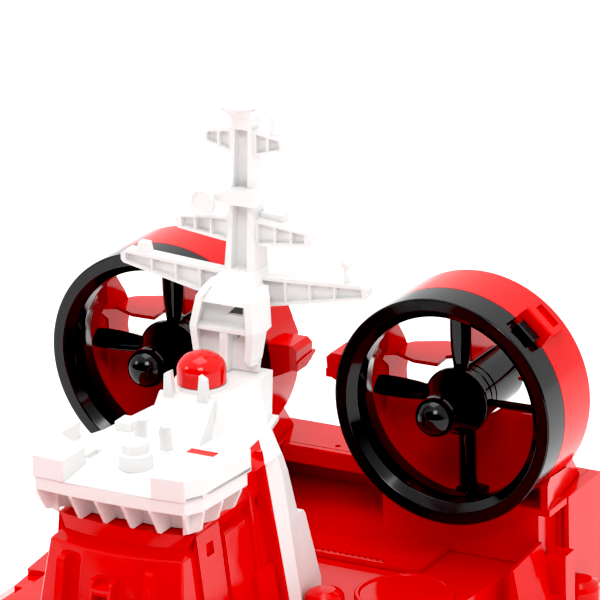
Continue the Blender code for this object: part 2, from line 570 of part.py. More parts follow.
def make_mast():
    """White mast: a channel post on a two-legged foot, three ribbed pairs of arms, a dish and small fittings."""
    post = [
        # z, half width, front y, rear y, corner chamfer
        (186.5, 13.4, 112.5, 127.0, 1.2),
        (190.5, 12.4, 114.5, 131.0, 1.2),
        (194.0, 9.6, 120.0, 136.0, 1.2),
        (197.0, 7.3, 126.0, 139.0, 1.0),
        (225.0, 5.6, 129.0, 139.6, 1.0),
        (256.0, 4.5, 131.5, 140.0, 1.0),
        (261.0, 4.8, 129.5, 140.0, 1.4),
        (265.0, 6.6, 126.2, 138.4, 2.4),
        (MAST_TOP_Z - 1.8, 8.2, 123.6, 139.6, 4.2),
    ]
    mast = add("mast", tapered([(z, -half, half, front, rear, cut) for z, half, front, rear, cut in post]),
               PAINT["white"])
    arms = [
        # tip x, tip bottom z, tip top z, root bottom z, root top z, front y, rear y, x of the ribs
        (57.8, 191.7, 197.6, 179.8, 194.3, 128.4, 134.4, (8.6, 20.0, 31.5, 43.0, 56.0)),
        (31.7, 210.2, 216.2, 206.5, 219.4, 130.0, 136.0, (7.0, 15.0, 22.5, 29.3)),
        (18.7, 248.4, 254.0, 243.4, 256.8, 132.6, 138.4, (5.8, 11.5, 17.3)),
    ]
    shapers = []
    cells = []
    for tip, low, high, root_low, root_high, front, rear, ribs in arms:
        outline = [(0.0, root_low), (tip - 1.2, low), (tip, low + 1.2), (tip, high - 1.6), (tip - 2.4, high),
                   (0.0, root_high)]
        shapers.append(helper(prism(mirrored(outline), "y", front, rear)))
        for inner, outer in zip(ribs, ribs[1:]):
            edges = []
            for x in (inner + 0.45, outer - 0.45):
                share = x / tip
                edges.append((x, root_low + (low - root_low) * share + 1.4, root_high + (high - root_high) * share - 1.4))
            (xa, low_a, high_a), (xb, low_b, high_b) = edges
            for side in (-1, 1):
                cell = [(side * xa, low_a), (side * xb, low_b), (side * xb, high_b), (side * xa, high_a)]
                cells.append(helper(prism(cell, "y", front - 1.0, front + 2.6)))
    legs = [
        # z, inner and outer x at the front, inner and outer x at the rear, front y, rear y
        (162.0, 11.2, 12.9, 12.4, 14.0, 111.2, 114.4),
        (164.6, 10.6, 13.5, 12.6, 15.4, 110.0, 116.4),
        (175.8, 11.5, 14.8, 14.2, 17.0, 109.8, 117.8),
        (177.0, 11.5, 14.8, 14.2, 17.6, 109.9, 120.8),
        (188.7, 9.5, 13.0, 12.4, 16.0, 112.5, 123.0),
        (192.4, 7.4, 11.0, 9.8, 13.2, 115.6, 127.0),
    ]
    wall = [
        # z, half width, front y, rear y
        (STAND_TOP_Z + GAP, 14.0, 114.6, 116.6),
        (176.0, 15.4, 117.6, 119.6),
        (188.7, 13.6, 120.6, 122.6),
    ]
    for side in (-1, 1):
        rings = [[(side * a, front, z), (side * b, front, z), (side * d, rear, z), (side * c, rear, z)]
                 for z, a, b, c, d, front, rear in legs]
        shapers.append(helper(loft(rings)))
    shapers.append(helper(tapered([(z, -half, half, front, rear, 0.1) for z, half, front, rear in wall])))
    shapers.append(helper(block(-13.0, 13.0, 111.0, 119.0, 175.0, 176.8)))
    shapers.append(helper(tapered([(STAND_TOP_Z + GAP, -2.0, 2.0, 109.6, 116.0, 0.6), (175.6, -2.0, 2.0, 111.4, 118.8, 0.6)])))
    bracket = [(-10.4, 227.0), (-3.6, 225.6), (9.0, 225.8), (9.0, 232.0), (-3.6, 231.6), (-10.4, 229.0)]
    scanner = [(0, 0.6), (4.3, 0.6), (4.7, 0), (5.5, 0), (5.5, 2.4), (0, 2.4)]
    before_channel = [helper(prism(bracket, "y", 124.4, 131.0)), helper(block(-14.0, -9.0, 123.0, 126.0, 226.6, 228.6)),
                      helper(turned(scanner, 24, "y"), (-13.9, 121.4, 225.7))]
    dish = [(0, -3.0), (7.4, -3.0), (9.0, -0.8), (9.0, 0.0), (8.2, 0.0), (7.4, -0.6), (0, -0.6)]
    shapers.append(helper(turned(dish, 32), (0, 131.5, MAST_TOP_Z)))
    whip = [(0, 250.0), (2.0, 250.0), (2.0, 262.2), (1.2, 263.7), (0, 264.1)]
    shapers.append(helper(turned(whip, 12), (13.4, 136.0, 0)))
    ball = [(0, 196.0), (1.2, 196.0), (1.2, 203.4), (2.3, 204.2), (2.7, 205.6), (2.3, 207.0), (1.2, 207.8), (0, 208.1)]
    shapers.append(helper(turned(ball, 16), (47.4, 131.4, 0)))
    shapers.append(helper(block(-50.6, -44.6, 129.4, 133.4, 195.0, 206.6)))
    shapers.append(helper(block(6.0, 17.0, 134.0, 138.6, 216.0, 220.6)))
    combine(mast, "UNION", shapers)
    channel = tapered([(197.4, -3.7, 3.7, 100.0, 131.2, 0.1), (256.0, -2.9, 2.9, 100.0, 135.8, 0.1)])
    holes = [
        # corners of the holes in the back wall of the foot
        [(-1.8, 180.2), (5.4, 180.2), (5.4, 185.6), (3.0, 185.6)],
        [(-8.4, 174.4), (-3.6, 174.4), (-5.2, 170.4)],
        [(3.0, 174.4), (7.0, 174.4), (3.2, 170.4)],
    ]
    cutters = [helper(channel)] + [helper(prism(hole, "y", 112.0, 126.0)) for hole in holes]
    combine(mast, "DIFFERENCE", cutters + cells)
    combine(mast, "UNION", before_channel)
    return mast


def around_latch(points):
    """Points given as (along the rim, radius, y) beside the latch, turned to its place on the port side of the rim."""
    angle = math.radians(LATCH_ANGLE)
    placed = []
    for along, radius, y in points:
        x = radius * math.cos(angle) - along * math.sin(angle)
        z = radius * math.sin(angle) + along * math.cos(angle)
        placed.append((x, y, z))
    return placed


def make_ring(side, name):
    """Black gloss ring on the duct's mouth: flat face, rounded lip, a sleeve that widens aft, a clip on its rim."""
    profile = [(49.2, 0.0), (RING_RADIUS, 0.8), (RING_RADIUS, RING_DEPTH), (44.5, RING_DEPTH), (44.5, SLEEVE_REAR_Y),
               (42.8, SLEEVE_REAR_Y), (RING_BORE + 0.6, 9.0), (RING_LIP, 4.2), (RING_BORE + 0.6, 1.6), (42.8, 0.2)]
    place = (side * FAN_X, FAN_Y, FAN_Z)
    body = add(name, turned(profile, 72, "y"), PAINT["black"], place)
    pocket = [around_latch([(-8.0, 48.2, y), (8.0, 48.2, y), (8.0, 53.0, y), (-8.0, 53.0, y)])
              for y in (6.6, RING_DEPTH + 1.0)]
    clip = [around_latch([(-5.0, 46.5, y), (5.0, 46.5, y), (5.0, top, y), (-5.0, top, y)])
            for y, top in ((8.0, 52.0), (8.8, 52.7), (14.0, 52.7), (14.8, 52.0))]
    combine(body, "DIFFERENCE", [helper(loft(pocket), place)])
    combine(body, "UNION", [helper(loft(clip), place)])
    return body


def make_duct(side, name):
    """Red duct behind the ring: latch block and box outside it, a bulkhead across its lower half, fins and a tailplane."""
    front = RING_DEPTH + GAP
    rear = front + DUCT_DEPTH
    profile = [(RING_RADIUS, front), (RING_RADIUS, rear - 0.6), (RING_RADIUS - 0.6, rear), (DUCT_BORE, rear),
               (DUCT_BORE, front)]
    place = (side * FAN_X, FAN_Y, FAN_Z)
    body = add(name, turned(profile, 72, "y"), PAINT["red"], place)
    latch_rows = [
        # y, half width at the foot, half width at the top, radius of the top
        (front + 0.4, 8.1, 7.4, 55.6),
        (front + 1.2, 8.1, 7.9, 56.4),
        (27.0, 8.1, 7.9, 56.4),
        (34.0, 8.1, 7.9, 50.4),
    ]
    latch = [around_latch([(-low, 48.4, y), (low, 48.4, y), (high, top, y), (-high, top, y)])
             for y, low, high, top in latch_rows]
    window = [around_latch([(-5.4, 54.6, y), (5.4, 54.6, y), (5.4, 60.0, y), (-5.4, 60.0, y)])
              for y in (21.0, 26.0)]
    tail_low = 5.7
    tail = mirrored([(12.4, 58.5), (12.4, 51.0), (19.5, 44.9), (19.1, 34.9), (30.4, 34.8), (45.0, 42.0), (45.0, 47.5),
                     (40.0, 55.0), (28.0, 61.0)])
    fin = [(33.0, 22.3), (33.0, 11.5), (27.5, 8.2), (33.0, 3.5), (33.0, -22.3), (40.2, -22.3), (43.0, -18.0),
           (49.0, -18.0), (51.0, -14.0), (49.5, -4.0), (52.5, 4.0), (48.0, 12.0), (40.2, 22.3)]
    keel = [(26.0, 48.5), (28.5, 13.4), (58.0, 13.4), (60.0, 5.0), (60.8, 5.0), (60.8, 20.0), (44.0, 36.0), (40.2, 48.5)]
    pod_clear = NACELLE_RADIUS + 0.6
    bulkhead = []
    for radius, start in ((48.4, -math.asin(-BULKHEAD_TOP / 48.4)), (pod_clear, -math.pi + math.asin(-BULKHEAD_TOP / pod_clear))):
        sweep = -math.pi - 2.0 * start
        bulkhead += [(radius * math.cos(start + sweep * k / 24), radius * math.sin(start + sweep * k / 24))
                     for k in range(25)]
    shapers = [loft(latch), prism(tail, "z", tail_low, tail_low + 1.6), prism(keel, "x", -0.9, 0.9),
               prism(bulkhead, "y", BULKHEAD_Y, BULKHEAD_Y + 2.0)]
    for offset in (-42.2, 42.2):
        shapers.append(prism(fin, "x", offset - 0.9, offset + 0.9))
    inner_box = [(47.6, -3.4), (50.6, -3.4), (61.7, 1.8), (62.3, 9.9), (60.0, 12.1), (47.6, 11.8)]
    shapers.append(loft([[(-side * x, y, z) for x, z in inner_box] for y in (front + 0.4, 30.0)]))
    prong = [(front + 0.4, 4.6), (front + 0.4, 1.0), (24.0, 1.0), (32.1, 4.9), (32.1, 5.9), (24.0, 5.6)]
    shapers.append(prism(prong, "x", -side * 60.4, -side * 62.6))
    combine(body, "UNION", [helper(shape, place) for shape in shapers])
    combine(body, "DIFFERENCE", [helper(loft(window), place)])
    return body


def make_cradle(side, name):
    """Red cradle that carries the duct: a block on the deck with two closing cheeks on its top."""
    low = DECK_Z + GAP
    rear = BEAM_FRONT_Y - GAP
    flange = WALL_OUTER_X - 0.5 - FAN_X
    bodies = [
        # inner and outer offset, rear y, bottom z, top z
        (-CRADLE_OUTER, CRADLE_OUTER, rear, low, HOUSE_TOP_Z),
        (-CRADLE_INNER, 2.0 - CRADLE_OUTER, rear, HOUSE_TOP_Z - 3.0, HOUSE_TOP_Z),
        (CRADLE_OUTER - 2.0, flange, WALL_FRONT_Y - GAP, HOUSE_TOP_Z - 3.0, HOUSE_TOP_Z),
    ]
    shapes = [block(side * (FAN_X + inner), side * (FAN_X + outer), CRADLE_FRONT_Y, end, bottom, top)
              for inner, outer, end, bottom, top in bodies]
    side_view = [(CRADLE_FRONT_Y, HOUSE_TOP_Z - 1.0), (CRADLE_FRONT_Y, 98.0), (200.0, 108.0), (213.6, 104.4),
                 (229.4, HOUSE_TOP_Z + GAP), (WALL_FRONT_Y - GAP, HOUSE_TOP_Z + GAP), (WALL_FRONT_Y - GAP, HOUSE_TOP_Z - 1.0)]
    for hand in (-1, 1):
        skins = []
        for thick in (0.0, CHEEK_THICK):
            skins.append([(side * (FAN_X + hand * (CHEEK_FRONT - CHEEK_CLOSING * (y - CRADLE_FRONT_Y) - thick)), y, z)
                          for y, z in side_view])
        shapes.append(loft(skins))
    body = add(name, shapes[0], PAINT["red"])
    combine(body, "UNION", [helper(shape) for shape in shapes[1:]])
    radius = RING_RADIUS + GAP
    cutter = turned([(0, -5.0), (radius, -5.0), (radius, 41.0), (0, 41.0)], 72, "y")
    combine(body, "DIFFERENCE", [helper(cutter, (side * FAN_X, FAN_Y, FAN_Z))])
    return body


def make_nacelle(side, name):
    """Black motor pod behind the propeller, on a strut from the duct's floor, with a front pin."""
    back = NACELLE_FRONT_Y + NACELLE_LENGTH
    profile = [(0, 16.0), (PIN_RADIUS, 16.0), (PIN_RADIUS, NACELLE_FRONT_Y), (NACELLE_RADIUS - 0.6, NACELLE_FRONT_Y),
               (NACELLE_RADIUS, NACELLE_FRONT_Y + 0.6), (NACELLE_RADIUS, back - 6.0), (11.2, back - 2.6), (8.0, back), (0, back)]
    body = add(name, turned(profile, 32, "y"), PAINT["black"], (side * FAN_X, FAN_Y, FAN_Z))
    strut = block(-1.6, 1.6, 25.0, 31.0, -45.5, -5.0)
    foot = block(-6.0, 6.0, 24.0, 33.0, -46.3, -43.2)
    place = (side * FAN_X, FAN_Y, FAN_Z)
    combine(body, "UNION", [helper(strut, place), helper(foot, place)])
    return body


def blade():
    """One twisted blade that points up from the propeller's axis."""
    rings = []
    stations = [
        # radius, chord, thickness, pitch in degrees
        (11.0, 7.4, 2.2, 34.0),
        (20.0, 8.4, 1.9, 33.0),
        (30.0, 9.0, 1.5, 31.0),
        (BLADE_TIP - 1.6, 8.6, 1.2, 29.0),
        (BLADE_TIP, 6.6, 0.9, 29.0),
    ]
    for radius, chord, thick, pitch in stations:
        turn = math.radians(pitch)
        flat = [(-0.5 * chord, 0.0), (-0.25 * chord, -0.5 * thick), (0.25 * chord, -0.5 * thick),
                (0.5 * chord, 0.0), (0.25 * chord, 0.5 * thick), (-0.25 * chord, 0.5 * thick)]
        rings.append([(a * math.cos(turn) - b * math.sin(turn),
                       BLADE_Y + a * math.sin(turn) + b * math.cos(turn), radius) for a, b in flat])
    return loft(rings)


def make_propeller(side, name):
    """Four-bladed propeller with a bullet nose and a cupped hub, free on the pod's pin."""
    bore = PIN_RADIUS + GAP
    profile = [(0, -17.5), (3.2, -16.6), (5.6, -13.6), (7.1, -9.0), (7.5, -4.0), (7.2, -1.0), (5.4, 0.0),
               (5.6, 3.5), (7.4, 8.0), (10.4, 11.8), (13.8, HUB_RIM_Y), (HUB_RADIUS, HUB_RIM_Y),
               (HUB_RADIUS, HUB_RIM_Y + 1.8), (NACELLE_RADIUS, HUB_RIM_Y + 2.4), (NACELLE_RADIUS, HUB_REAR_Y),
               (bore, HUB_REAR_Y), (bore, 15.5), (0, 15.5)]
    hub = add(name, turned(profile, 32, "y"), PAINT["black"], (side * FAN_X, FAN_Y, FAN_Z))
    blades = []
    for k in range(4):
        shape = blade()
        bmesh.ops.rotate(shape, matrix=Matrix.Rotation(math.radians(90 * k), 3, "Y"), verts=shape.verts)
        blades.append(helper(shape, (side * FAN_X, FAN_Y, FAN_Z)))
    combine(hub, "UNION", blades)
    return hub


clear_scene()
PAINT = {
    "red": material("red_gloss_plastic", (0.80, 0.005, 0.004), 0.12),
    "white": material("white_gloss_plastic", (0.86, 0.85, 0.83), 0.22),
    "black": material("black_gloss_plastic", (0.006, 0.006, 0.007), 0.12),
    "guide": material("guide", (0.5, 0.5, 0.5), 0.5),
}
make_skirt()
make_hull()
make_main_deck()
make_foredeck()
make_stern_beam()
make_rear_deck()
make_tower()
make_aft_tower()
make_bridge_deck()
make_stand()
make_dome()
make_mast()
for side, word in ((1, "port"), (-1, "starboard")):
    make_side_wall(side, "side_wall_" + word)
    make_deck_disc(side, "deck_disc_" + word)
    make_deck_vent(side, "deck_vent_" + word)
    make_cradle(side, "duct_cradle_" + word)
    make_duct(side, "duct_" + word)
    make_ring(side, "duct_ring_" + word)
    make_nacelle(side, "motor_pod_" + word)
    make_propeller(side, "propeller_" + word)
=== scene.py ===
"""Toy hovercraft in gloss plastic, dressed for the photograph's view.

Lengths in this file are in millimetres unless a line says otherwise; they are
turned into metres when a mesh is made. X points to port, Y aft, Z up.
"""

import math

import bmesh
import bpy
import numpy as np
from mathutils import Matrix, Vector


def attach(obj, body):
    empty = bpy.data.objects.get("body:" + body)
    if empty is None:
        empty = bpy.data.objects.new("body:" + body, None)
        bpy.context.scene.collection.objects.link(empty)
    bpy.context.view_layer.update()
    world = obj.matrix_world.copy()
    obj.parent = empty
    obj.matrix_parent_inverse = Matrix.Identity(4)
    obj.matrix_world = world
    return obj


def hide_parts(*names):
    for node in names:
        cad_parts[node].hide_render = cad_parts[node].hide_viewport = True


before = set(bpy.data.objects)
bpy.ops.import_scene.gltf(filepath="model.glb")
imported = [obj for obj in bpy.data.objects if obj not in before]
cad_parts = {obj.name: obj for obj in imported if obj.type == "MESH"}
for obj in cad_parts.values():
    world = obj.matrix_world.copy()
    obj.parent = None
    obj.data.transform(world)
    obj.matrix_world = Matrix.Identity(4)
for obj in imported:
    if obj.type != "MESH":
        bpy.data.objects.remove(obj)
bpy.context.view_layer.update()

# Camera
# A long lens, turned a little about its own axis, looking down at the stern half
# of the boat from ahead and to port. Place in metres, angles in degrees.

camera_place = Vector((0.91305, -1.46930, 0.84515))
camera_azimuth = math.radians(29.009)
camera_height = math.radians(19.799)
camera_roll = math.radians(-1.558)
back = Vector((math.sin(camera_azimuth) * math.cos(camera_height),
               -math.cos(camera_azimuth) * math.cos(camera_height),
               math.sin(camera_height)))
right = Vector((math.cos(camera_azimuth), math.sin(camera_azimuth), 0.0))
above = back.cross(right)
camera_x = math.cos(camera_roll) * right + math.sin(camera_roll) * above
camera_y = -math.sin(camera_roll) * right + math.cos(camera_roll) * above
camera_turn = Matrix((camera_x, camera_y, back)).transposed().to_4x4()
lens = bpy.data.cameras.new("camera")
lens.sensor_fit = "HORIZONTAL"
lens.sensor_width = 36.0
lens.lens = 284.66
lens.clip_start = 0.05
lens.clip_end = 20.0
camera = bpy.data.objects.new("camera", lens)
camera.matrix_world = Matrix.Translation(camera_place) @ camera_turn
bpy.context.scene.collection.objects.link(camera)
bpy.context.scene.camera = camera

# Floor and light
# The floor is a plain pale sheet. A soft lamp stands ahead, a larger one hangs above and a weak
# one stands to starboard, inside a bright surround that the gloss plastic mirrors. Lengths in
# this section are in metres.

white = (1.0, 1.0, 1.0, 1.0)
floor_half = 6.0
floor_mesh = bpy.data.meshes.new("floor")
floor_mesh.from_pydata([(-floor_half, -floor_half, 0.0), (floor_half, -floor_half, 0.0),
                        (floor_half, floor_half, 0.0), (-floor_half, floor_half, 0.0)],
                       [], [(0, 1, 2, 3)])
floor = bpy.data.objects.new("floor", floor_mesh)
bpy.context.scene.collection.objects.link(floor)
floor_paint = bpy.data.materials.new("floor_paper")
floor_paint.use_nodes = True
floor_shader = floor_paint.node_tree.nodes["Principled BSDF"]
floor_shader.inputs["Base Color"].default_value = (0.93, 0.93, 0.94, 1.0)
floor_shader.inputs["Roughness"].default_value = 0.6
floor_shader.inputs["Emission Color"].default_value = white
floor_shader.inputs["Emission Strength"].default_value = 0.35
floor_mesh.materials.append(floor_paint)

lamp_target = Vector((0.0, 0.1, 0.1))
lamps = [
    # name, place, size, power in watts
    ("lamp_front", (0.7, -1.4, 1.7), 0.7, 13.0),
    ("lamp_above", (-0.2, 0.2, 2.0), 1.2, 11.0),
    ("lamp_starboard", (-1.5, -1.0, 1.1), 0.5, 4.0),
]
for name, place, size, power in lamps:
    lamp_data = bpy.data.lights.new(name, "AREA")
    lamp_data.shape = "SQUARE"
    lamp_data.size = size
    lamp_data.energy = power
    lamp = bpy.data.objects.new(name, lamp_data)
    lamp.location = place
    lamp.rotation_euler = (lamp_target - Vector(place)).to_track_quat("-Z", "Y").to_euler()
    bpy.context.scene.collection.objects.link(lamp)

view = bpy.context.scene.view_settings
view.view_transform = "Standard"
view.use_curve_mapping = True
view.curve_mapping.black_level = (0.022, 0.022, 0.022)
view.curve_mapping.white_level = (0.93, 0.93, 0.93)
view.curve_mapping.update()


class Shade:
    """One output of a shader node. Arithmetic on it adds Math nodes to the same tree."""

    def __init__(self, tree, socket):
        self.tree = tree
        self.socket = socket

    def work_out(self, operation, first, second):
        step = self.tree.nodes.new("ShaderNodeMath")
        step.operation = operation
        for place, value in enumerate((first, second)):
            if isinstance(value, Shade):
                self.tree.links.new(value.socket, step.inputs[place])
            else:
                step.inputs[place].default_value = value
        return Shade(self.tree, step.outputs[0])

    def __add__(self, other):
        return self.work_out("ADD", self, other)

    def __radd__(self, other):
        return self.work_out("ADD", other, self)

    def __mul__(self, other):
        return self.work_out("MULTIPLY", self, other)

    def __rmul__(self, other):
        return self.work_out("MULTIPLY", other, self)


class Nodes:
    """The nodes of a material or of the surround, with one method that adds any node."""

    def __init__(self, owner):
        owner.use_nodes = True
        self.tree = owner.node_tree

    def node(self, kind, settings, inputs, output=0):
        """Node of a kind: its settings are made first, then its inputs take values or links."""
        made = self.tree.nodes.new(kind)
        for name, value in settings.items():
            setattr(made, name, value)
        for name, value in inputs.items():
            if isinstance(value, Shade):
                self.tree.links.new(value.socket, made.inputs[name])
            else:
                made.inputs[name].default_value = value
        return Shade(self.tree, made.outputs[output])

    def feed(self, node, socket, shade):
        """Link a shade to a socket of a node that is there from the start."""
        self.tree.links.new(shade.socket, self.tree.nodes[node].inputs[socket])


surround = bpy.data.worlds.new("surround")
sky = Nodes(surround)
sky.tree.nodes["Background"].inputs["Color"].default_value = white
aim = sky.node("ShaderNodeTexCoord", {}, {}, "Generated")
aim_y = sky.node("ShaderNodeSeparateXYZ", {}, {"Vector": aim}, "Y")
aim_z = sky.node("ShaderNodeSeparateXYZ", {}, {"Vector": aim}, "Z")
brightness = sky.node("ShaderNodeMapRange", {"interpolation_type": "SMOOTHSTEP"},
                      {"Value": aim_y + 0.7 * aim_z, "From Min": -0.75, "From Max": 0.05,
                       "To Min": 0.03, "To Max": 0.95})
sky.feed("Background", "Strength", brightness)
bpy.context.scene.world = surround

# Hull
# The lower hull is a wide tray of red plastic with a sloping shoulder. It is moulded in
# one piece, glossy, with the faint waviness of a thin moulded wall, and rides on the skirt.

millimetre = 0.001  # in metres
merge_distance = 0.000002  # in metres
flat_angle = math.radians(0.6)


def moulded_plastic(name, colour, deep_colour, roughness, ripple, mirror=0.5):
    """Gloss plastic: the colour drifts between two tones over a few centimetres, the gloss
    varies with handling, and a faint ripple of the mould, height in metres, bends the light."""
    material = bpy.data.materials.new(name)
    material.diffuse_color = (*colour, 1.0)
    finish = Nodes(material)
    shader = "Principled BSDF"
    sockets = finish.tree.nodes[shader].inputs
    sockets["Base Color"].default_value = (*colour, 1.0)
    sockets["Roughness"].default_value = roughness
    sockets["Specular IOR Level"].default_value = mirror
    place = finish.node("ShaderNodeTexCoord", {}, {}, "Object")
    drift = finish.node("ShaderNodeTexNoise", {}, {"Vector": place, "Scale": 22.0, "Detail": 2.0})
    first_colour, second_colour, mixed_colour = 6, 7, 2
    tone = finish.node("ShaderNodeMix", {"data_type": "RGBA"},
                       {"Factor": drift, first_colour: (*colour, 1.0),
                        second_colour: (*deep_colour, 1.0)}, mixed_colour)
    finish.feed(shader, "Base Color", tone)
    handling = finish.node("ShaderNodeTexNoise", {}, {"Vector": place, "Scale": 60.0,
                                                      "Detail": 5.0, "Roughness": 0.65})
    grain = finish.node("ShaderNodeTexNoise", {}, {"Vector": place, "Scale": 1400.0, "Detail": 1.0})
    least, handled, grained = 0.55, 0.7, 0.2
    finish.feed(shader, "Roughness", roughness * (least + handled * handling + grained * grain))
    wave = finish.node("ShaderNodeTexNoise", {}, {"Vector": place, "Scale": 75.0, "Detail": 1.5})
    relief = finish.node("ShaderNodeBump", {},
                         {"Height": wave, "Distance": ripple, "Strength": 1.0})
    finish.feed(shader, "Normal", relief)
    return material


red_plastic = moulded_plastic("red_gloss", (0.80, 0.0045, 0.0035), (0.72, 0.003, 0.003),
                              roughness=0.13, ripple=0.00012, mirror=0.3)


def rounded_outline(corners, closed, steps=5):
    """Outline through corners (across, along, rounding radius), as an array of points. A corner
    with a radius becomes the arc that touches both of its sides, in the given number of steps."""
    points = []
    for place, (across, along, rounding) in enumerate(corners):
        corner = np.array((across, along), float)
        if rounding == 0.0 or (not closed and place in (0, len(corners) - 1)):
            points.append(corner)
            continue
        before = np.array(corners[place - 1][:2]) - corner
        after = np.array(corners[(place + 1) % len(corners)][:2]) - corner
        before /= np.hypot(*before)
        after /= np.hypot(*after)
        half = 0.5 * math.acos(np.clip(before @ after, -1.0, 1.0))
        bisector = (before + after) / np.hypot(*(before + after))
        centre = corner + bisector * rounding / math.sin(half)
        first = corner + before * rounding / math.tan(half) - centre
        last = corner + after * rounding / math.tan(half) - centre
        turn = math.pi - 2.0 * half
        share = np.linspace(0.0, 1.0, steps + 1)[:, None]
        swing = first * np.sin((1.0 - share) * turn) + last * np.sin(share * turn)
        points.extend(centre + swing / math.sin(turn))
    return np.array(points)


def new_piece(name, mesh):
    """Object with this mesh, linked to the scene."""
    piece = bpy.data.objects.new(name, mesh)
    bpy.context.scene.collection.objects.link(piece)
    return piece


def faced_outward(name, points, faces, merge=True):
    """Piece from points in millimetres and its faces, which are turned to point outward."""
    mesh = bpy.data.meshes.new(name)
    mesh.from_pydata((np.reshape(points, (-1, 3)) * millimetre).tolist(), [], faces)
    shell = bmesh.new()
    shell.from_mesh(mesh)
    if merge:
        bmesh.ops.remove_doubles(shell, verts=shell.verts, dist=merge_distance)
    bmesh.ops.recalc_face_normals(shell, faces=shell.faces)
    shell.to_mesh(mesh)
    shell.free()
    return new_piece(name, mesh)


def surface(name, grid, closed_rows=False):
    """Closed body from a grid of points in millimetres, with (rows, columns, 3) as its shape. The
    columns run round the body; the rows run round too, or end in a flat cap or a single point."""
    rows, columns = grid.shape[:2]
    lower = np.arange(rows * columns).reshape(rows, columns)
    upper = np.roll(lower, -1, axis=0)
    caps = []
    if not closed_rows:
        caps = [tuple(lower[0][::-1].tolist()), tuple(lower[-1].tolist())]
        upper, lower = upper[:-1], lower[:-1]
    quads = np.stack([lower, np.roll(lower, -1, axis=1), np.roll(upper, -1, axis=1), upper], axis=-1)
    faces = [tuple(quad) for quad in quads.reshape(-1, 4).tolist()]
    return faced_outward(name, grid, faces + caps)


def soften(piece, edge, crease=28.0, smooth=17.0):
    """Round the edges sharper than crease, in degrees, by a radius in millimetres, and shade flat
    faces flat: each corner takes the direction of its largest face."""
    piece.data.shade_smooth()
    piece.data.set_sharp_from_angle(angle=math.radians(smooth))
    if edge > 0.0:
        bevel = piece.modifiers.new("edges", "BEVEL")
        bevel.width = edge * millimetre
        bevel.segments = 2
        bevel.limit_method = "ANGLE"
        bevel.angle_limit = math.radians(crease)
        bevel.use_clamp_overlap = True
    flats = piece.modifiers.new("flat_faces", "WEIGHTED_NORMAL")
    flats.mode = "FACE_AREA"
    flats.weight = 100
    flats.keep_sharp = True
    return piece


def fit(piece, finish, slot, body, *nodes):
    """Give a piece its finish and its body, and hide the solids that it stands for."""
    piece.data.materials.clear()
    piece.data.materials.append(finish)
    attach(piece, body)
    if nodes:
        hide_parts(*nodes)


def hull_plan(half_x, half_y, bow_corner, stern_corner, arc=24, straight=12):
    """Closed plan as an array of (x, y): a rectangle with round corners, larger ones at the bow.
    Each corner has arc steps, and each long side is split in straight steps."""
    long_side = 30.0
    corners = [(half_x, half_y, stern_corner, 0.0), (-half_x, half_y, stern_corner, 90.0),
               (-half_x, -half_y, bow_corner, 180.0), (half_x, -half_y, bow_corner, 270.0)]
    points = []
    for x, y, corner, start in corners:
        centre = np.array((x - math.copysign(corner, x), y - math.copysign(corner, y)))
        angles = np.radians(start + np.linspace(0.0, 90.0, arc + 1))
        points.extend(centre + corner * np.column_stack([np.cos(angles), np.sin(angles)]))
    filled = []
    for here, after in zip(points, points[1:] + points[:1]):
        count = straight if np.hypot(*(after - here)) > long_side else 1
        filled.extend(np.linspace(here, after, count, endpoint=False))
    return np.array(filled)


def level_rows(rows):
    """Grid from pairs of a plan, points (x, y), and the height at which it lies."""
    return np.array([np.column_stack([plan, np.full(len(plan), height)]) for plan, height in rows])


def hull_grid():
    """Hull: each section point, at an inset from the rim and a height, makes a plan at that height
    whose half sizes and corner radii are the rim's less the inset."""
    half_width, half_length, bow_corner, stern_corner = 120.0, 255.0, 68.0, 26.0
    section = rounded_outline([(3.0, 26.0, 0.6), (0.0, 30.0, 1.2), (0.0, 33.0, 1.2),
                               (10.0, 38.0, 0.8), (14.0, 38.0, 0.0)], False)
    return level_rows([(hull_plan(half_width - inset, half_length - inset, bow_corner - inset,
                                  stern_corner - inset), height) for inset, height in section])


hull = soften(surface("hull_tray", hull_grid()), 0.0, smooth=30.0)
fit(hull, red_plastic, "red_plastic", "craft", "hull")

# Skirt
# The black skirt is a ribbed moulding of harder plastic that imitates folded rubber
# fingers. It is less glossy than the ducts and picks up dust in its folds.

skirt_black = moulded_plastic("black_satin", (0.012, 0.012, 0.013), (0.006, 0.006, 0.007),
                              roughness=0.42, ripple=0.0002)
skirt_section = [
    # inset from the outer line, height, share of the creases between the fingers
    (3.0, 25.7, 0.0), (1.6, 25.3, 0.0), (0.9, 24.0, 0.0), (0.25, 20.0, 0.0), (0.05, 17.5, 0.0),
    (0.0, 15.6, 0.0), (0.3, 14.3, 0.15), (1.0, 13.0, 0.6), (1.8, 11.8, 0.95), (3.2, 7.5, 1.0),
    (4.6, 3.2, 1.0), (5.4, 0.8, 1.0), (6.2, 0.0, 1.0), (9.0, 0.0, 0.4), (20.0, 0.0, 0.0),
    (20.8, 0.7, 0.0), (26.0, 14.1, 0.0), (21.8, 25.0, 0.0), (21.0, 25.7, 0.0),
]


